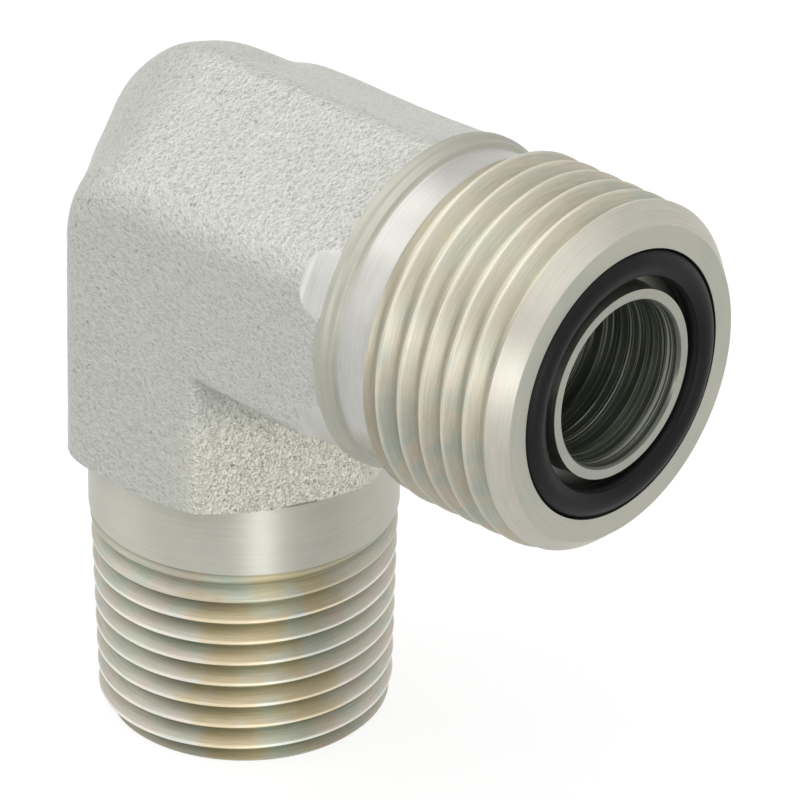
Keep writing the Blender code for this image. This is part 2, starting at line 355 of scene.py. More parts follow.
def makeBlastedZinc(name, look):
    material, shader = newFinish(name, look["light"], look["roughness"], look["metallic"])
    place = addNode(material, "TexCoord").outputs["Object"]
    # the crater pattern is pushed about, so that no cell keeps a straight edge
    drift = noiseNode(material, place, look["warpScale"], output="Color")
    warped = vectorNode(material, "MULTIPLY_ADD", drift, (look["warp"],) * 3, place)
    craters = voronoiNode(material, warped, look["craterScale"], look["craterSoftness"])
    dimples = voronoiNode(material, warped, look["dimpleScale"], look["dimpleSoftness"])
    grain = noiseNode(material, place, look["grainScale"], detail=3.0, roughness=0.65)
    patches = noiseNode(material, place, look["patchScale"], detail=3.0, roughness=0.6)
    colour = mixNode(material, patches, look["dark"], look["light"])
    colour = shadeNode(material, colour, rampNode(material, grain, look["grainStops"]))
    # painted shade in the crater hollows and painted light on the ridges between them
    paintedHollowShade = mathNode(material, "ADD", mathNode(material, "MULTIPLY", craters, look["craterShare"]),
                      mathNode(material, "MULTIPLY", dimples, look["dimpleShare"]))
    colour = shadeNode(material, colour, rampNode(material, paintedHollowShade, look["paintedHollowShadeStops"]))
    # the inner slope of the pipe arm is coarser and a little creamier, and its colour is raised as painted
    # sheen for the glints of the lamp there
    x, _, z = splitNode(material, place)
    (startX, startZ), (fullX, fullZ) = look["coarseSkinAndSheenStart"], look["coarseSkinAndSheenFull"]
    coarseSkinAndSheen = mathNode(material, "MULTIPLY", rangeNode(material, x, startX, fullX, crossing.x),
                      rangeNode(material, z, startZ, fullZ, crossing.z))
    colour = shadeNode(material, colour, mixNode(material, coarseSkinAndSheen, white, look["creamAndPaintedSheenColour"]))
    # painted shade: the crease inside the elbow is painted darker where the fillet turns down into shade
    edge, softness = look["paintedCreaseShadeEdge"], look["paintedCreaseShadeSoftness"]
    paintedCreaseShade = rangeNode(material, mathNode(material, "ADD", x, z), *look["paintedCreaseShadeFade"], crossing.x + crossing.z)
    for value, side, origin in ((x, 1.0, crossing.x), (z, -1.0, crossing.z)):
        beyond = rangeNode(material, value, side * (edge - softness), side * (edge + softness), origin)
        paintedCreaseShade = mathNode(material, "MULTIPLY", paintedCreaseShade, beyond)
    colour = shadeNode(material, colour, mixNode(material, paintedCreaseShade, white, look["paintedCreaseShadeColour"]))
    deeper = mathNode(material, "MULTIPLY_ADD", coarseSkinAndSheen, look["coarseDepth"], 1.0)
    craters = mathNode(material, "MULTIPLY", craters, deeper)
    dimples = mathNode(material, "MULTIPLY", dimples, deeper)
    pits = noiseNode(material, place, look["pitScale"], detail=1.0)
    colour = mixNode(material, rampNode(material, pits, look["pitStops"]), colour, look["pit"])
    wire(material, colour, shader.inputs["Base Color"])
    normal = bumpNode(material, craters, look["craterDepth"])
    normal = bumpNode(material, dimples, look["dimpleDepth"], normal)
    normal = bumpNode(material, grain, look["grainDepth"], normal)
    wire(material, normal, shader.inputs["Normal"])
    return material


def axisCoordinates(material, axis):
    # place along the axis, radius and turn angle, all from the object's own coordinates
    place = addNode(material, "TexCoord").outputs["Object"]
    shift = vectorNode(material, "SUBTRACT", place, tuple(crossing))
    x, y, z = splitNode(material, shift)
    along, first, second = (x, y, z) if axis == "X" else (z, x, y)
    squares = [mathNode(material, "MULTIPLY", part, part) for part in (first, second)]
    radius = mathNode(material, "SQRT", mathNode(material, "ADD", *squares))
    angle = mathNode(material, "ARCTAN2", second, first)
    cross = vectorNode(material, "CROSS_PRODUCT", (1.0, 0.0, 0.0) if axis == "X" else (0.0, 0.0, 1.0), shift)
    return along, radius, angle, first, second, vectorNode(material, "NORMALIZE", cross)


def makeTurnedZinc(name, axis, look):
    material, shader = newFinish(name, look["colour"], look["roughness"], look["metallic"])
    along, radius, angle, first, second, roundAxis = axisCoordinates(material, axis)
    # tool marks run round the axis: fine across, very long along the turn
    marks = joinNode(material, along, radius, mathNode(material, "MULTIPLY", angle, look["markLength"] * mm))
    fine = noiseNode(material, marks, look["markScale"], detail=3.0, roughness=0.6)
    broad = noiseNode(material, marks, look["markScale"] * look["broadScale"])
    cloud = joinNode(material, along, first, second)
    tint = noiseNode(material, cloud, look["tintScale"], roughness=0.6)
    colour = rampNode(material, tint, look["tints"])
    if look["warmSide"] is not None:
        # the passivation's gold tint gathers on one side of the turned surface
        turn, wander = math.radians(look["warmSide"]), look["warmWander"]
        toward = mathNode(material, "ADD", mathNode(material, "MULTIPLY", first, math.cos(turn)),
                          mathNode(material, "MULTIPLY", second, math.sin(turn)))
        toward = mathNode(material, "DIVIDE", toward, radius)
        patchy = mathNode(material, "MULTIPLY_ADD", tint, wander, -0.5 * wander)
        toward = mathNode(material, "ADD", toward, patchy)
        start, full = look["warmStops"]
        share = rampNode(material, toward, [(start, black), (full, (look["warmShare"],) * 3)])
        colour = mixNode(material, share, colour, look["warmColour"])
    if look["paintedShadeAndHighlightStops"]:
        # painted shade and highlight: each thread's colour follows its depth from root to crest, with a
        # painted highlight on the crest and, on the taper, painted shade in the root
        span = look["crest"] - look["root"]
        reach = mathNode(material, "MULTIPLY_ADD", radius, 1.0 / span / mm, -look["root"] / span)
        lean = mathNode(material, "MULTIPLY", along, -look["taper"] / span / mm)
        if look["neckShade"]:
            # painted shade: the shallow turns by the neck are painted as dark as the deep ones
            start, full, drop = look["neckShade"]
            near = rangeNode(material, along, start, full)
            lean = mathNode(material, "SUBTRACT", lean, mathNode(material, "MULTIPLY", near, drop))
        shade = rampNode(material, mathNode(material, "ADD", reach, lean), look["paintedShadeAndHighlightStops"])
        colour = shadeNode(material, colour, shade)
    start, full = look["streakStops"]
    streak = rampNode(material, fine, [(start, (1.0 - look["streak"],) * 3), (full, white)])
    colour = shadeNode(material, colour, streak)
    if look["lineColour"] is not None:
        # thin bright rings where a slow noise along the axis passes its middle value
        slow = joinNode(material, along, mathNode(material, "MULTIPLY", angle, look["lineDrift"] * mm))
        ripple = noiseNode(material, slow, look["lineScale"], roughness=0.7)
        colour = mixNode(material, rampNode(material, ripple, look["lineStops"]), colour, look["lineColour"])
    wire(material, colour, shader.inputs["Base Color"])
    spread = look["roughnessSpread"]
    rough = mathNode(material, "MULTIPLY_ADD", broad, spread, look["roughness"] - 0.5 * spread)
    wire(material, rough, shader.inputs["Roughness"])
    shader.inputs["Anisotropic"].default_value = look["anisotropic"]
    shader.inputs["Anisotropic Rotation"].default_value = look["anisotropicTurn"]
    wire(material, roundAxis, shader.inputs["Tangent"])
    normal = bumpNode(material, broad, look["markDepth"] * look["broadDepth"] * mm)
    normal = bumpNode(material, fine, look["markDepth"] * mm, normal)
    wire(material, normal, shader.inputs["Normal"])
    return material


# bright zinc on lathe-turned steel, marks in mm; each turned surface changes only what differs
turnedBase = {
    "colour": (0.53, 0.53, 0.49),
    "roughness": 0.46,
    "roughnessSpread": 0.1,
    "metallic": 1.0,
    "anisotropic": 0.85,
    "anisotropicTurn": 0.25,
    "markScale": 9000.0,
    "markLength": 0.35,
    "markDepth": 0.002,
    "broadScale": 0.18,
    "broadDepth": 2.0,
    "streak": 0.1,
    "streakStops": (0.3, 0.65),
    "tintScale": 260.0,
    "tints": [(0.35, (0.53, 0.53, 0.51)), (0.5, (0.56, 0.555, 0.53)), (0.65, (0.54, 0.525, 0.51))],
    "warmSide": None,
    "warmWander": 0.8,
    "paintedShadeAndHighlightStops": None,
    "neckShade": None,
    "lineColour": None,
}
collarLook = dict(
    turnedBase, roughness=0.36,
    tints=[(0.35, (0.53, 0.53, 0.495)), (0.5, (0.555, 0.55, 0.515)), (0.65, (0.54, 0.53, 0.50))])
bandLook = dict(
    turnedBase, roughness=0.6, anisotropic=0.3,
    tints=[(0.35, (0.57, 0.57, 0.54)), (0.5, (0.60, 0.60, 0.57)), (0.65, (0.58, 0.575, 0.55))])
rimLook = dict(
    turnedBase, roughness=0.6, anisotropic=0.5,
    tints=[(0.35, (0.45, 0.45, 0.395)), (0.5, (0.48, 0.475, 0.41)), (0.65, (0.46, 0.455, 0.40))])
straightThreadLook = dict(
    turnedBase, markScale=11000.0, roughness=0.58, anisotropic=0.7, streak=0.16, tintScale=330.0,
    crest=10.29, root=9.34, taper=0.0,
    tints=[(0.3, (0.465, 0.50, 0.445)), (0.42, (0.50, 0.515, 0.45)), (0.52, (0.575, 0.51, 0.42)),
           (0.62, (0.515, 0.51, 0.44)), (0.72, (0.455, 0.495, 0.455))],
    warmSide=118.0, warmStops=(0.1, 0.8), warmShare=0.62, warmColour=(0.70, 0.67, 0.57),
    paintedShadeAndHighlightStops=[(0.0, (1.02, 1.03, 1.0)), (0.2, (0.98, 0.98, 0.96)), (0.85, (0.99, 0.99, 0.98)),
                (1.0, (1.12, 1.12, 1.11))])
faceLook = dict(
    turnedBase, roughness=0.42, anisotropic=0.5, markDepth=0.0015, streak=0.07,
    tints=[(0.35, (0.42, 0.425, 0.37)), (0.55, (0.445, 0.44, 0.375)), (0.7, (0.43, 0.43, 0.38))])
noseLook = dict(
    turnedBase, roughness=0.53, anisotropic=0.7, streak=0.09,
    tints=[(0.35, (0.54, 0.53, 0.465)), (0.5, (0.565, 0.54, 0.47)), (0.65, (0.55, 0.53, 0.47))])
lipLook = dict(faceLook, tints=[(0.35, (0.35, 0.35, 0.31)), (0.65, (0.38, 0.38, 0.33))])
grooveLook = dict(turnedBase, roughness=0.35, tints=[(0.4, (0.30, 0.30, 0.27)), (0.6, (0.35, 0.35, 0.31))])
boreLook = dict(
    turnedBase, roughness=0.36, metallic=0.5, anisotropic=0.6, markScale=5200.0, markDepth=0.006,
    streak=0.35, tintScale=200.0,
    tints=[(0.35, (0.10, 0.115, 0.09)), (0.55, (0.14, 0.155, 0.12)), (0.7, (0.115, 0.13, 0.10))],
    lineColour=(0.62, 0.64, 0.55), lineScale=1500.0, lineDrift=0.03,
    lineStops=[(0.485, black), (0.497, white), (0.503, white), (0.515, black)])
neckLook = dict(
    turnedBase, roughness=0.5, anisotropic=0.86, tintScale=180.0, streak=0.07,
    tints=[(0.35, (0.52, 0.52, 0.46)), (0.5, (0.545, 0.54, 0.475)), (0.65, (0.535, 0.515, 0.45))])
# crest and root are the radii that the taper would have at the crossing
taperThreadLook = dict(
    straightThreadLook, crest=9.34, root=8.31, taper=1.0 / 32.0, neckShade=(-20.6, -18.6, 0.6),
    tints=[(0.3, (0.45, 0.47, 0.42)), (0.42, (0.485, 0.475, 0.415)), (0.52, (0.51, 0.46, 0.415)),
           (0.62, (0.485, 0.47, 0.415)), (0.72, (0.45, 0.465, 0.435))],
    warmSide=-40.0, warmStops=(0.86, 1.0), warmShare=0.9, warmColour=(0.49, 0.42, 0.285),
    paintedShadeAndHighlightStops=[(0.0, (0.70, 0.75, 0.65)), (0.3, (0.99, 1.03, 0.95)), (0.7, (1.25, 1.26, 1.22)),
                (0.93, (1.35, 1.36, 1.35)), (1.0, (1.78, 1.82, 1.88))])

finishes = {
    "forging": makeBlastedZinc("blastedZinc", blastedZinc),
    "collar": makeTurnedZinc("turnedCollarZinc", "X", collarLook),
    "straightThread": makeTurnedZinc("straightThreadZinc", "X", straightThreadLook),
    "sealFace": makeTurnedZinc("sealFaceZinc", "X", faceLook),
    "groove": makeTurnedZinc("grooveZinc", "X", grooveLook),
    "faceSealBore": makeTurnedZinc("faceSealBoreZinc", "X", boreLook),
    "neck": makeTurnedZinc("neckZinc", "Z", neckLook),
    "taperThread": makeTurnedZinc("taperThreadZinc", "Z", taperThreadLook),
    "pipeFace": makeTurnedZinc("pipeFaceZinc", "Z", faceLook),
    "pipeBore": makeTurnedZinc("pipeBoreZinc", "Z", boreLook),
    "lip": makeTurnedZinc("lipZinc", "X", lipLook),
    "nose": makeTurnedZinc("noseZinc", "X", noseLook),
    "rim": makeTurnedZinc("rimZinc", "X", rimLook),
    "band": makeTurnedZinc("bandZinc", "X", bandLook),
}
finishNames = list(finishes)
print("finishes made")

# sizes in mm from the crossing of the bores
forging = {
    "ridgeHeight": 9.6,
    "flatHalfHeight": 4.95,
    "halfAcrossFlats": 9.525,
    "armEnd": 14.6,
    "armLong": 21.0,
    "faceSealFlare": 0.42,
    "pipeFlare": 0.25,
    "outerCorner": (8.5, 28),  # each bevel's reach and segments
    "innerCrease": (2.8, 6),
    "innerFlatEdge": (0.5, 3),
    "outerFlatEdge": (1.6, 6),
    "ridge": (0.55, 4),
    "slack": 0.01,
    "creaseSlack": 0.3,
    "creaseHeight": 1.0,
    "innerEdgeSpan": 1.0,
    "voxel": 0.24,
    "smoothing": 3,
    "smoothingFactor": 0.5,
    "scaleLumps": 0.9,
    "lumpDetail": 2,
    "lumpDepth": 0.05,
    "swells": [  # place, move and reach of each
        ((-4.4, 3.0, 7.9), (-0.14, 0.1, 0.6), 5.2),
        ((-2.0, 6.9, 6.3), (0.04, -0.1, -0.16), 4.5),
        ((6.0, 7.8, 6.0), (0.0, -0.1, -0.16), 9.0),
        ((-5.9, -7.0, 3.0), (0.2, 0.1, -0.05), 3.6),
        ((-7.9, -1.2, 5.2), (-0.1, -0.04, 0.05), 3.2),
    ],
}


def makeForging(size):
    ridge, far, slack = size["ridgeHeight"], size["armLong"], size["slack"] * mm
    flareX = size["faceSealFlare"] * far / size["armEnd"]
    flareZ = size["pipeFlare"] * far / size["armEnd"]
    block = drawProfile("forgedBlock", [
        (far, ridge + flareX), (-ridge, ridge), (-ridge - flareZ, -far), (ridge + flareZ, -far),
        (ridge, -ridge), (far, -ridge - flareX)], closed=True)
    bpy.ops.object.mode_set(mode="EDIT")
    bpy.ops.mesh.select_all(action="SELECT")
    bpy.ops.mesh.edge_face_add()
    bpy.ops.object.mode_set(mode="OBJECT")
    # round the elbow's outer corner in the flat outline
    corner = Vector((-ridge * mm, 0.0, ridge * mm))
    radius, segments = size["outerCorner"]
    selectVerts(block, lambda co: (co - corner).length < slack)
    bpy.ops.mesh.bevel(offset=radius * mm, segments=segments, affect="VERTICES", clamp_overlap=False)
    # the outline faces -Y before it is pushed out
    bpy.ops.mesh.select_mode(type="FACE")
    bpy.ops.mesh.select_all(action="SELECT")
    bpy.ops.object.mode_set(mode="OBJECT")
    facesAway = block.data.polygons[0].normal.y > 0.0
    bpy.ops.object.mode_set(mode="EDIT")
    if facesAway:
        bpy.ops.mesh.flip_normals()
    # inset and push out at once: the sloped faces between the ridge and the wrench flat
    half = size["halfAcrossFlats"] * mm
    bpy.ops.mesh.inset(thickness=(ridge - size["flatHalfHeight"]) * mm, depth=half,
                       use_boundary=True, use_even_offset=True)
    bpy.ops.object.mode_set(mode="OBJECT")
    mirror = block.modifiers.new("otherHalf", "MIRROR")
    mirror.use_axis = (False, True, False)
    mirror.use_clip = True
    mirror.merge_threshold = mergeDistance
    applyModifier(block, mirror)
    fixNormals(block)

    def offCorner(co, reach):
        return math.hypot(co.x - reach * mm, co.z + reach * mm)

    def onCrease(a, b):
        low, high = sorted((a, b), key=lambda co: abs(co.y))
        gap = max(offCorner(low, ridge), offCorner(high, size["flatHalfHeight"]))
        return gap < size["creaseSlack"] * mm and abs(high.y) > size["creaseHeight"] * mm

    def onFlatEdge(a, b):
        return abs(abs(a.y) - half) < slack and abs(abs(b.y) - half) < slack

    def insideElbow(a, b, limit):
        return min(a.x, b.x) > limit and max(a.z, b.z) < -limit

    bevelEdges(block, onCrease, *size["innerCrease"], clamp=False)
    # the flat's edge is crisp inside the elbow and soft along its outer side
    inside = size["flatHalfHeight"] * mm - slack
    outside = inside - size["innerEdgeSpan"] * mm
    bevelEdges(block, lambda a, b: onFlatEdge(a, b) and insideElbow(a, b, inside), *size["innerFlatEdge"])
    bevelEdges(block, lambda a, b: onFlatEdge(a, b) and not insideElbow(a, b, outside),
               *size["outerFlatEdge"])
    bevelEdges(block, lambda a, b: max(abs(a.y), abs(b.y)) < slack, *size["ridge"])
    # square ends at the turned ends
    bpy.ops.object.mode_set(mode="EDIT")
    for normal in ((1.0, 0.0, 0.0), (0.0, 0.0, -1.0)):
        bpy.ops.mesh.select_all(action="SELECT")
        plane = Vector(normal) * size["armEnd"] * mm
        bpy.ops.mesh.bisect(plane_co=plane, plane_no=normal, use_fill=True, clear_outer=True)
    bpy.ops.object.mode_set(mode="OBJECT")
    fixNormals(block)
    return block


def roughenForging(block, size):
    remesh = block.modifiers.new("fineFaces", "REMESH")
    remesh.mode = "VOXEL"
    remesh.voxel_size = size["voxel"] * mm
    applyModifier(block, remesh)
    soften = block.modifiers.new("soften", "SMOOTH")
    soften.factor = size["smoothingFactor"]
    soften.iterations = size["smoothing"]
    applyModifier(block, soften)
    lumps = bpy.data.textures.new("scaleLumps", "CLOUDS")
    lumps.noise_scale = size["scaleLumps"] * mm
    lumps.noise_depth = size["lumpDetail"]
    displace = block.modifiers.new("lumps", "DISPLACE")
    displace.texture = lumps
    displace.texture_coords = "LOCAL"
    displace.strength = size["lumpDepth"] * mm
    applyModifier(block, displace)
    # die-forged corners are never quite even: fuller here, flatter there
    for place, move, reach in size["swells"]:
        spot = Vector(place) * mm
        nearest = min(block.data.vertices, key=lambda vertex: (vertex.co - spot).length).index
        selectVerts(block, lambda co: False)
        bpy.ops.object.mode_set(mode="OBJECT")
        block.data.vertices[nearest].select = True
        bpy.ops.object.mode_set(mode="EDIT")
        bpy.ops.transform.translate(value=Vector(move) * mm, use_proportional_edit=True,
                                    proportional_edit_falloff="SMOOTH", proportional_size=reach * mm)
        bpy.ops.object.mode_set(mode="OBJECT")


block = makeForging(forging)
roughenForging(block, forging)
dress(block, "forging")
print("forged block:", len(block.data.polygons), "faces")

lathe = {
    "bandStart": 12.6, "bandStartRadius": 11.2, "bandStartRounding": 0.3,
    "bandShoulder": 13.15, "bandRadius": 10.1, "bandRounding": 0.25,
    "bandEndRadius": 9.84, "bandCutEnd": 17.0,
    "coneOuterRadius": 12.2, "coneOuterZ": -12.85, "coneInnerZ": -14.15,
    "coneInset": 2.0, "coneCutEnd": -18.0,
    "collarStart": 14.4, "collarEdge": 14.82, "collarRadius": 9.86, "edgeRounding": 0.16,
    "collarStep": 15.02, "collarStepRadius": 9.62, "stepRounding": 0.14,
    "collarEnd": 15.4, "endRounding": 0.12,
    "undercutStart": 15.6, "undercutRadius": 9.27, "wallStart": 17.6, "wallEnd": 18.37, "coreReach": 2.4,
    "crestRadius": 10.29, "faceLeg": 28.2, "noseChamfer": 1.25, "faceRadius": 9.22, "noseRounding": 0.06,
    "pitch": 1.5875, "depth": 0.95, "crestFlat": 0.2, "rootFlat": 0.29, "crestPlace": 19.41, "spareTurns": 2,
    "fadeStart": 26.55, "fadeEnd": 27.05,
    "reach": 20.0, "buried": 8.0, "clear": 0.3,
}
crestRounding, rootRounding = 0.05, 0.13


def threadTooth(size, crestRadius):
    # one pitch of a 60 degree thread from crest middle to crest middle, with soft crest and root corners
    pitch, halfCrest, rootRadius = size["pitch"], size["crestFlat"] / 2.0, crestRadius - size["depth"]
    flank = (pitch - size["crestFlat"] - size["rootFlat"]) / 2.0
    return roundedPoints([
        (0.0, crestRadius), (halfCrest, crestRadius, crestRounding),
        (halfCrest + flank, rootRadius, rootRounding),
        (halfCrest + flank + size["rootFlat"], rootRadius, rootRounding),
        (pitch - halfCrest, crestRadius, crestRounding), (pitch, crestRadius)], steps=2)


def closeRims(obj, axis):
    # each open end of a screwed profile is closed to a point in its middle
    middle = sum(v.co[axis] for v in obj.data.vertices) / len(obj.data.vertices)
    makeActive(obj)
    for side in (-1.0, 1.0):
        bpy.ops.object.mode_set(mode="EDIT")
        bpy.ops.mesh.select_mode(type="EDGE")
        bpy.ops.mesh.select_all(action="DESELECT")
        bpy.ops.mesh.select_non_manifold(extend=False, use_wire=False, use_boundary=True,
                                         use_multi_face=False, use_non_contiguous=False, use_verts=False)
        bpy.ops.object.mode_set(mode="OBJECT")
        verts = obj.data.vertices
        rim = []
        for edge in obj.data.edges:
            a, b = edge.vertices
            place = (verts[a].co[axis] + verts[b].co[axis]) / 2.0
            edge.select = edge.select and (place - middle) * side >= 0.0
            if edge.select:
                rim += [a, b]
        for item in (*verts, *obj.data.polygons):
            item.select = False
        for number in rim:
            verts[number].select = True
        bpy.ops.object.mode_set(mode="EDIT")
        bpy.ops.mesh.extrude_edges_move(TRANSFORM_OT_translate={"value": (0.0, 0.0, 0.0)})
        bpy.ops.mesh.merge(type="CENTER")
        bpy.ops.object.mode_set(mode="OBJECT")
    fixNormals(obj)


def makeFaceSealEnd(size):
    buried, clear = size["buried"], size["clear"]
    core = size["wallStart"] + size["coreReach"]
    collar = drawProfile("collar", roundedPoints([
        (buried, 0.0), (buried, buried),
        (size["collarStart"], buried), (size["collarStart"], size["collarRadius"]),
        (size["collarEdge"], size["collarRadius"], size["edgeRounding"]),
        (size["collarStep"], size["collarStepRadius"], size["stepRounding"]),
        (size["collarEnd"], size["collarStepRadius"], size["endRounding"]),
        (size["undercutStart"], size["undercutRadius"], size["stepRounding"]),
        (core, size["undercutRadius"]), (core, 0.0)]))
    turnProfile(collar, "X")
    dress(collar, "collar")

    wallSlope = (size["wallEnd"] - size["wallStart"]) / (size["crestRadius"] - size["undercutRadius"])
    noseSlope = size["noseChamfer"] / (size["crestRadius"] - size["faceRadius"])
    inner, outer = size["undercutRadius"] - clear, size["crestRadius"] + clear
    blank = drawProfile("threadBlank", roundedPoints([
        (size["wallStart"] - clear, 0.0), (size["wallStart"] - clear, inner),
        (size["wallStart"] - clear * wallSlope, inner), (size["wallEnd"] + clear * wallSlope, outer),
        (size["faceLeg"] - size["noseChamfer"] - clear * noseSlope, outer),
        (size["faceLeg"], size["faceRadius"], size["noseRounding"]), (size["faceLeg"], 0.0)]))
    turnProfile(blank, "X")
    dress(blank, "sealFace")

    turns = math.ceil((size["faceLeg"] - size["wallStart"]) / size["pitch"]) + size["spareTurns"] + 1
    # the profile stands at +Z, a quarter turn short of the crest place on the near side
    start = size["crestPlace"] - (0.25 + size["spareTurns"]) * size["pitch"]
    tooth = threadTooth(size, size["crestRadius"])
    rod = drawProfile("straightThread", [(start + x, radius) for x, radius in tooth])
    turnProfile(rod, "X", pitch=size["pitch"], turns=turns)
    # the last groove grows shallow and is gone before the nose
    for vertex in rod.data.vertices:
        radius = math.hypot(vertex.co.y, vertex.co.z) / mm
        lead = (math.degrees(math.atan2(vertex.co.z, vertex.co.y)) - 180.0) % 360.0 / 360.0 * size["pitch"]
        number = math.floor((vertex.co.x / mm - size["crestPlace"] - lead) / size["pitch"])
        groove = size["crestPlace"] + lead + (number + 0.5) * size["pitch"]
        fade = shareBetween(groove, size["fadeStart"], size["fadeEnd"])
        wanted = radius + (size["crestRadius"] - radius) * fade
        vertex.co.y *= wanted / radius
        vertex.co.z *= wanted / radius
    closeRims(rod, 0)
    dress(rod, "straightThread")
    combine(rod, blank, "INTERSECT")
    combine(collar, rod, "UNION")
    return collar


pipeEnd = {
    "neckRadius": 8.84, "neckEnd": -18.42, "neckRounding": 0.08, "shoulderHeight": 0.8, "holdingLoop": 0.1,
    "smallRadius": 8.36, "taper": 1.0 / 32.0,
    "pitch": 1.4111, "depth": 1.03, "crestFlat": 0.16, "rootFlat": 0.16,
    "crestZ": -30.04, "crestAzimuth": -45.0, "spareTurns": 3, "runOutStart": -21.0, "runOutDepth": 0.35,
    "leg": 31.35, "chamfer": 0.6, "footRounding": 0.05, "buried": 8.0, "clear": 0.3,
}


def makePipeEnd(size):
    buried, radius, loop = size["buried"], size["neckRadius"], size["holdingLoop"]
    top = lathe["coneInnerZ"]
    # the holding loops keep the neck's shading even up to its seams
    neck = drawProfile("neck", roundedPoints([
        (0.0, -buried), (buried, -buried), (buried, top + size["shoulderHeight"]), (radius, top),
        (radius, top - loop), (radius, size["neckEnd"] + 2.0 * loop),
        (radius, size["neckEnd"], size["neckRounding"]), (0.0, size["neckEnd"])]))
    turnProfile(neck, "Z")
    dress(neck, "neck")

    threadTop = size["neckEnd"] + size["clear"]
    endRadius = size["smallRadius"] - size["chamfer"]
    widest = radius + size["clear"]
    blank = drawProfile("taperBlank", roundedPoints([
        (0.0, threadTop), (widest, threadTop), (widest, -size["leg"] + widest - endRadius),
        (endRadius, -size["leg"], size["footRounding"]), (0.0, -size["leg"])]))
    turnProfile(blank, "Z")
    dress(blank, "pipeFace")

    turns = math.ceil((size["leg"] + size["neckEnd"]) / size["pitch"]) + size["spareTurns"] + 1
    start = size["crestZ"] - (size["crestAzimuth"] / 360.0 + size["spareTurns"]) * size["pitch"]
    tooth = threadTooth(size, size["smallRadius"])
    rod = drawProfile("taperThread", [(reach, start + z) for z, reach in tooth])
    turnProfile(rod, "Z", pitch=size["pitch"], turns=turns)
    # the rod takes the taper, and its grooves grow shallow toward the neck
    for vertex in rod.data.vertices:
        z = vertex.co.z / mm
        radius = math.hypot(vertex.co.x, vertex.co.y) / mm
        run = shareBetween(z, size["runOutStart"], size["neckEnd"])
        shallow = 1.0 + run * (size["runOutDepth"] / size["depth"] - 1.0)
        crest = size["smallRadius"] + (z + size["leg"]) * size["taper"]
        wanted = crest - (size["smallRadius"] - radius) * shallow
        vertex.co.x *= wanted / radius
        vertex.co.y *= wanted / radius
    closeRims(rod, 2)
    dress(rod, "taperThread")
    combine(rod, blank, "INTERSECT")
    combine(neck, rod, "UNION")
    return neck


def makeRingCutter(name, points, axis, slot):
    ring = drawProfile(name, points, closed=True)
    turnProfile(ring, axis)
    return dress(ring, slot)


faceSealEnd = makeFaceSealEnd(lathe)
print("face seal end:", len(faceSealEnd.data.polygons), "faces")
lowerEnd = makePipeEnd(pipeEnd)
print("pipe end:", len(lowerEnd.data.polygons), "faces")

seal = {
    "lipRadius": 5.55, "mouthRadius": 7.92, "floorRadius": 8.35,
    "mouthDepth": 0.3, "flareDepth": 0.9, "depth": 1.6,
    "floorRounding": 0.15, "flareRounding": 0.1, "mouthRounding": 0.05,
    "boreRadius": 4.88, "lipChamfer": 0.12, "pipeBoreRadius": 4.25, "pipeBoreChamfer": 0.35,
    "tip": 2.6, "past": 1.0,
    "ridgeHeight": 0.035, "ridgeWidth": 0.07,
    "ridges": [6.1, 9.4, 12.2, 14.9, 17.3, 19.2, 20.7, 21.4, 22.8, 23.9, 24.6, 25.8, 26.3, 27.2],
}

bandCutter = makeRingCutter("bandCutter", roundedPoints([
    (lathe["bandStart"], lathe["reach"]),
    (lathe["bandStart"], lathe["bandStartRadius"], lathe["bandStartRounding"]),
    (lathe["bandShoulder"], lathe["bandRadius"], lathe["bandRounding"]),
    (forging["armEnd"], lathe["bandEndRadius"]), (lathe["bandCutEnd"], lathe["bandEndRadius"]),
    (lathe["bandCutEnd"], lathe["reach"])]), "X", "collar")
combine(block, bandCutter, "DIFFERENCE")
coneSlope = (lathe["coneOuterZ"] - lathe["coneInnerZ"]) / (lathe["coneOuterRadius"] - pipeEnd["neckRadius"])
coneRadius = pipeEnd["neckRadius"] - lathe["coneInset"]
coneCutter = makeRingCutter("coneCutter", [
    (lathe["reach"], lathe["coneInnerZ"] + (lathe["reach"] - pipeEnd["neckRadius"]) * coneSlope),
    (coneRadius, lathe["coneInnerZ"] - lathe["coneInset"] * coneSlope),
    (coneRadius, lathe["coneCutEnd"]), (lathe["reach"], lathe["coneCutEnd"])], "Z", "neck")
combine(block, coneCutter, "DIFFERENCE")
combine(block, faceSealEnd, "UNION")
combine(block, lowerEnd, "UNION")
print("united:", len(block.data.polygons), "faces")

leg, past, lipRadius, boreRadius = lathe["faceLeg"], seal["past"], seal["lipRadius"], seal["boreRadius"]
grooveCutter = makeRingCutter("grooveCutter", roundedPoints([
    (leg + past, lipRadius), (leg - seal["depth"], lipRadius, seal["floorRounding"]),
    (leg - seal["depth"], seal["floorRadius"], seal["floorRounding"]),
    (leg - seal["flareDepth"], seal["floorRadius"], seal["flareRounding"]),
    (leg - seal["mouthDepth"], seal["mouthRadius"], seal["mouthRounding"]),
    (leg + past, seal["mouthRadius"])]), "X", "groove")
combine(block, grooveCutter, "DIFFERENCE")
borePoints = [(-seal["tip"], 0.0), (0.0, boreRadius)]
for place in seal["ridges"]:
    # a fine ridge left standing between two passes of the boring tool
    for offset, height in ((-seal["ridgeWidth"], 0.0), (0.0, seal["ridgeHeight"]), (seal["ridgeWidth"], 0.0)):
        borePoints.append((place + offset, boreRadius - height))
borePoints += [(leg - seal["lipChamfer"], boreRadius),
               (leg + past, boreRadius + seal["lipChamfer"] + past), (leg + past, 0.0)]
faceDrill = drawProfile("faceSealDrill", borePoints)
turnProfile(faceDrill, "X")
dress(faceDrill, "faceSealBore")
combine(block, faceDrill, "DIFFERENCE")
pipeLeg, pipeRadius, pipeChamfer = pipeEnd["leg"], seal["pipeBoreRadius"], seal["pipeBoreChamfer"]
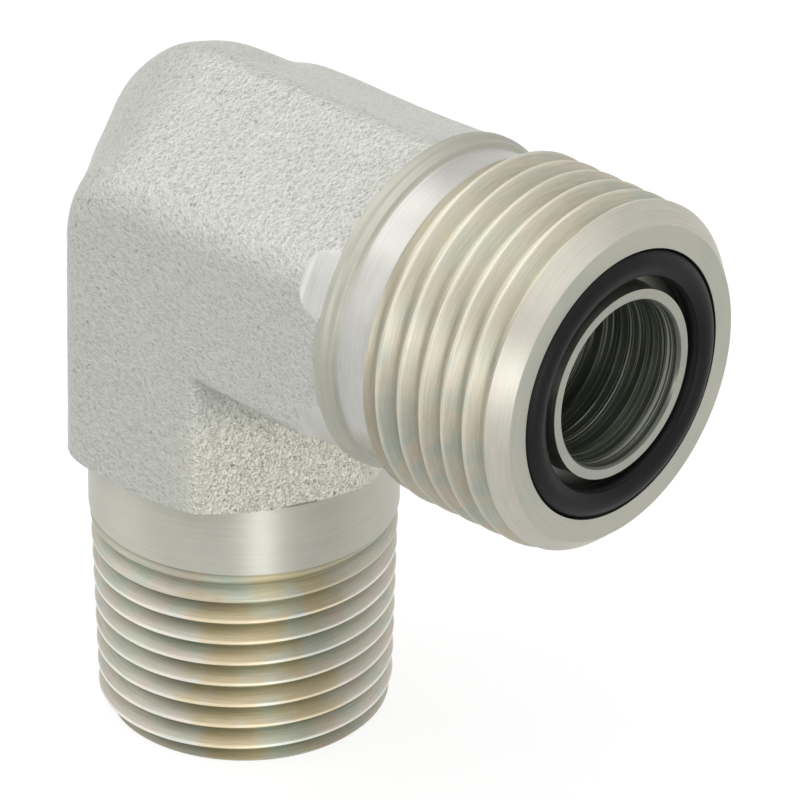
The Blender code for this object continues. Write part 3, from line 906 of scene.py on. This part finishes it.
pipeDrill = drawProfile("pipeDrill", [
    (0.0, seal["tip"]), (pipeRadius, 0.0), (pipeRadius, pipeChamfer - pipeLeg),
    (pipeRadius + pipeChamfer + past, -pipeLeg - past), (0.0, -pipeLeg - past)])
turnProfile(pipeDrill, "Z")
dress(pipeDrill, "pipeBore")
combine(block, pipeDrill, "DIFFERENCE")

elbowBody = block
elbowBody.name = "elbowSteelBody"
elbowBody.data.name = "elbowSteelBody"
edgeSlack = 0.05
facingOut = 0.9


def ownFinish(face):
    # the collar's finish splits into band, undercut and rim; the end blank's into wall, nose, face and lip
    kind = finishNames[face.material_index]
    x, radius = face.center.x / mm, math.hypot(face.center.y, face.center.z) / mm
    if kind == "collar" and lathe["collarStart"] < x < lathe["undercutStart"] + edgeSlack:
        return "rim"
    if kind == "collar" and x < lathe["collarStart"]:
        return "band"
    if kind == "sealFace" and x < lathe["crestPlace"]:
        return "collar"
    if kind == "sealFace" and face.normal.x < facingOut:
        return "nose"
    if kind == "sealFace" and radius < seal["lipRadius"] + edgeSlack:
        return "lip"
    return kind


for face in elbowBody.data.polygons:
    face.material_index = finishNames.index(ownFinish(face))
settle(elbowBody)
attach(elbowBody, "root")
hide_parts("elbow_body")
print("elbow body:", sum(len(f.vertices) - 2 for f in elbowBody.data.polygons), "triangles")

rubberLook = {
    "dark": (0.0065, 0.0065, 0.0073), "light": (0.0105, 0.0105, 0.0115), "specular": 0.17,
    "roughness": 0.48, "roughnessSpread": 0.2, "grainScale": 5200.0, "grainDepth": 0.004, "grainShare": 0.4,
    "smearScale": 420.0, "smearShare": 0.6, "stops": (0.35, 0.65),
}


def makeRubber(look):
    material, shader = newFinish("sealRubber", look["light"], look["roughness"], 0.0)
    shader.inputs["Specular IOR Level"].default_value = look["specular"]
    place = addNode(material, "TexCoord").outputs["Object"]
    grain = noiseNode(material, place, look["grainScale"])
    smear = noiseNode(material, place, look["smearScale"], detail=3.0, roughness=0.6)
    tone = mathNode(material, "MULTIPLY_ADD", smear, look["smearShare"],
                    mathNode(material, "MULTIPLY", grain, look["grainShare"]))
    start, full = look["stops"]
    colour = rampNode(material, tone, [(start, look["dark"]), (full, look["light"])])
    wire(material, colour, shader.inputs["Base Color"])
    spread = look["roughnessSpread"]
    rough = mathNode(material, "MULTIPLY_ADD", smear, spread, look["roughness"] - 0.5 * spread)
    wire(material, rough, shader.inputs["Roughness"])
    wire(material, bumpNode(material, grain, look["grainDepth"] * mm), shader.inputs["Normal"])
    return material


ring = {
    "sectionRadius": 0.87, "centreRadius": 7.03, "centrePlace": 27.68, "sectionSteps": 36, "turnSteps": 240,
    "flashAngles": (-48.0, 132.0), "flashHeight": 0.028, "flashHalfWidth": 3.5, "flashClear": 1.0,
}


def makeSealRing(size):
    # a moulded round section with the fine flash line where the two mould halves meet
    wide, clear = size["flashHalfWidth"], size["flashHalfWidth"] + size["flashClear"]
    section = [(-180.0 + 360.0 * i / size["sectionSteps"], 0.0) for i in range(size["sectionSteps"])]
    for middle in size["flashAngles"]:
        section = [(angle, height) for angle, height in section if abs(angle - middle) > clear]
        section += [(middle - wide, 0.0), (middle, size["flashHeight"]), (middle + wide, 0.0)]
    points = []
    for angle, height in sorted(section):
        turn, reach = math.radians(angle), size["sectionRadius"] + height
        points.append((size["centrePlace"] + reach * math.cos(turn),
                       size["centreRadius"] + reach * math.sin(turn)))
    rubber = drawProfile("faceSealRing", points, closed=True)
    turnProfile(rubber, "X", size["turnSteps"])
    rubber.data.name = "faceSealRing"
    settle(rubber)
    rubber.data.materials.append(makeRubber(rubberLook))
    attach(rubber, "root")
    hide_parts("face_seal_ring")


makeSealRing(ring)
print("seal ring made")

studio = {
    "floorSize": 6.0,
    "floorColour": (0.32, 0.32, 0.32),
    "floorRoughness": 0.7,
    "floorSpecular": 0.2,
    "floorGlow": 0.83,
    "worldSeen": 1.0,
    "worldLight": 0.22,
    "lampAim": (0.0, 0.0, 0.02),
}
lamps = {
    "frontSoftbox": {
        "azimuth": -36.0, "elevation": 4.8, "distance": 0.7, "size": (0.19, 0.19), "power": 1.3},
    "leftSoftbox": {
        "azimuth": -140.0, "elevation": 30.0, "distance": 0.7, "size": (0.4, 0.75), "power": 0.68},
    "topSoftbox": {
        "azimuth": -60.0, "elevation": 83.0, "distance": 0.8, "size": (1.0, 1.0), "power": 3.5},
}


def direction(look):
    a, e = math.radians(look["azimuth"]), math.radians(look["elevation"])
    return Vector((math.cos(e) * math.cos(a), math.cos(e) * math.sin(a), math.sin(e)))


def aim(obj, target):
    obj.rotation_euler = (Vector(target) - obj.location).to_track_quat("-Z", "Y").to_euler()


def seenRays(owner):
    # 1 for a ray that sees, mirrors or passes through, 0 for one that only lights
    light = addNode(owner, "LightPath")
    seen = mathNode(owner, "MAXIMUM", light.outputs["Is Camera Ray"], light.outputs["Is Glossy Ray"])
    return mathNode(owner, "MAXIMUM", seen, light.outputs["Is Transmission Ray"])


def makeFloor(look):
    clearSelection()
    bpy.ops.mesh.primitive_plane_add(size=look["floorSize"], location=(0.0, 0.0, 0.0))
    floor = bpy.context.object
    floor.name = "paleFloor"
    material, shader = newFinish("paleFloor", look["floorColour"], look["floorRoughness"], 0.0)
    shader.inputs["Specular IOR Level"].default_value = look["floorSpecular"]
    glow = addNode(material, "Emission")
    glow.inputs["Color"].default_value = (*white, 1.0)
    strength = mathNode(material, "MULTIPLY", seenRays(material), look["floorGlow"])
    wire(material, strength, glow.inputs["Strength"])
    both = addNode(material, "AddShader")
    wire(material, shader.outputs[0], both.inputs[0])
    wire(material, glow.outputs[0], both.inputs[1])
    output = material.node_tree.nodes["Material Output"]
    wire(material, both.outputs[0], output.inputs["Surface"])
    floor.data.materials.append(material)


def addLamp(name, look, target):
    clearSelection()
    bpy.ops.object.light_add(type="AREA", location=direction(look) * look["distance"] + Vector(target))
    lamp = bpy.context.object
    lamp.name = name
    lamp.data.shape = "RECTANGLE"
    lamp.data.size, lamp.data.size_y = look["size"]
    lamp.data.energy = look["power"]
    aim(lamp, target)


def makeWorld(look):
    # white where it is seen or mirrored, a plain level where it lights
    world = bpy.data.worlds.new("studioWorld")
    bpy.context.scene.world = world
    world.use_nodes = True
    lit = look["worldLight"]
    level = mathNode(world, "MULTIPLY_ADD", seenRays(world), look["worldSeen"] - lit, lit)
    background = world.node_tree.nodes["Background"]
    background.inputs["Color"].default_value = (*white, 1.0)
    wire(world, level, background.inputs["Strength"])


makeFloor(studio)
for lampName, lampLook in lamps.items():
    addLamp(lampName, lampLook, studio["lampAim"])
makeWorld(studio)
bpy.context.scene.view_settings.view_transform = "Standard"

view = {"azimuth": -48.01, "elevation": 30.6, "distance": 0.7213, "lens": 579.5, "sensor": 36.0,
        "clipEnd": 20.0, "aim": (0.751 * mm, 1.957 * mm, 22.347 * mm)}
clearSelection()
bpy.ops.object.camera_add(location=Vector(view["aim"]) + direction(view) * view["distance"])
camera = bpy.context.object
camera.name = "photoCamera"
camera.data.lens = view["lens"]
camera.data.sensor_width = view["sensor"]
camera.data.clip_end = view["clipEnd"]
aim(camera, view["aim"])
bpy.context.scene.camera = camera
print("stage set")
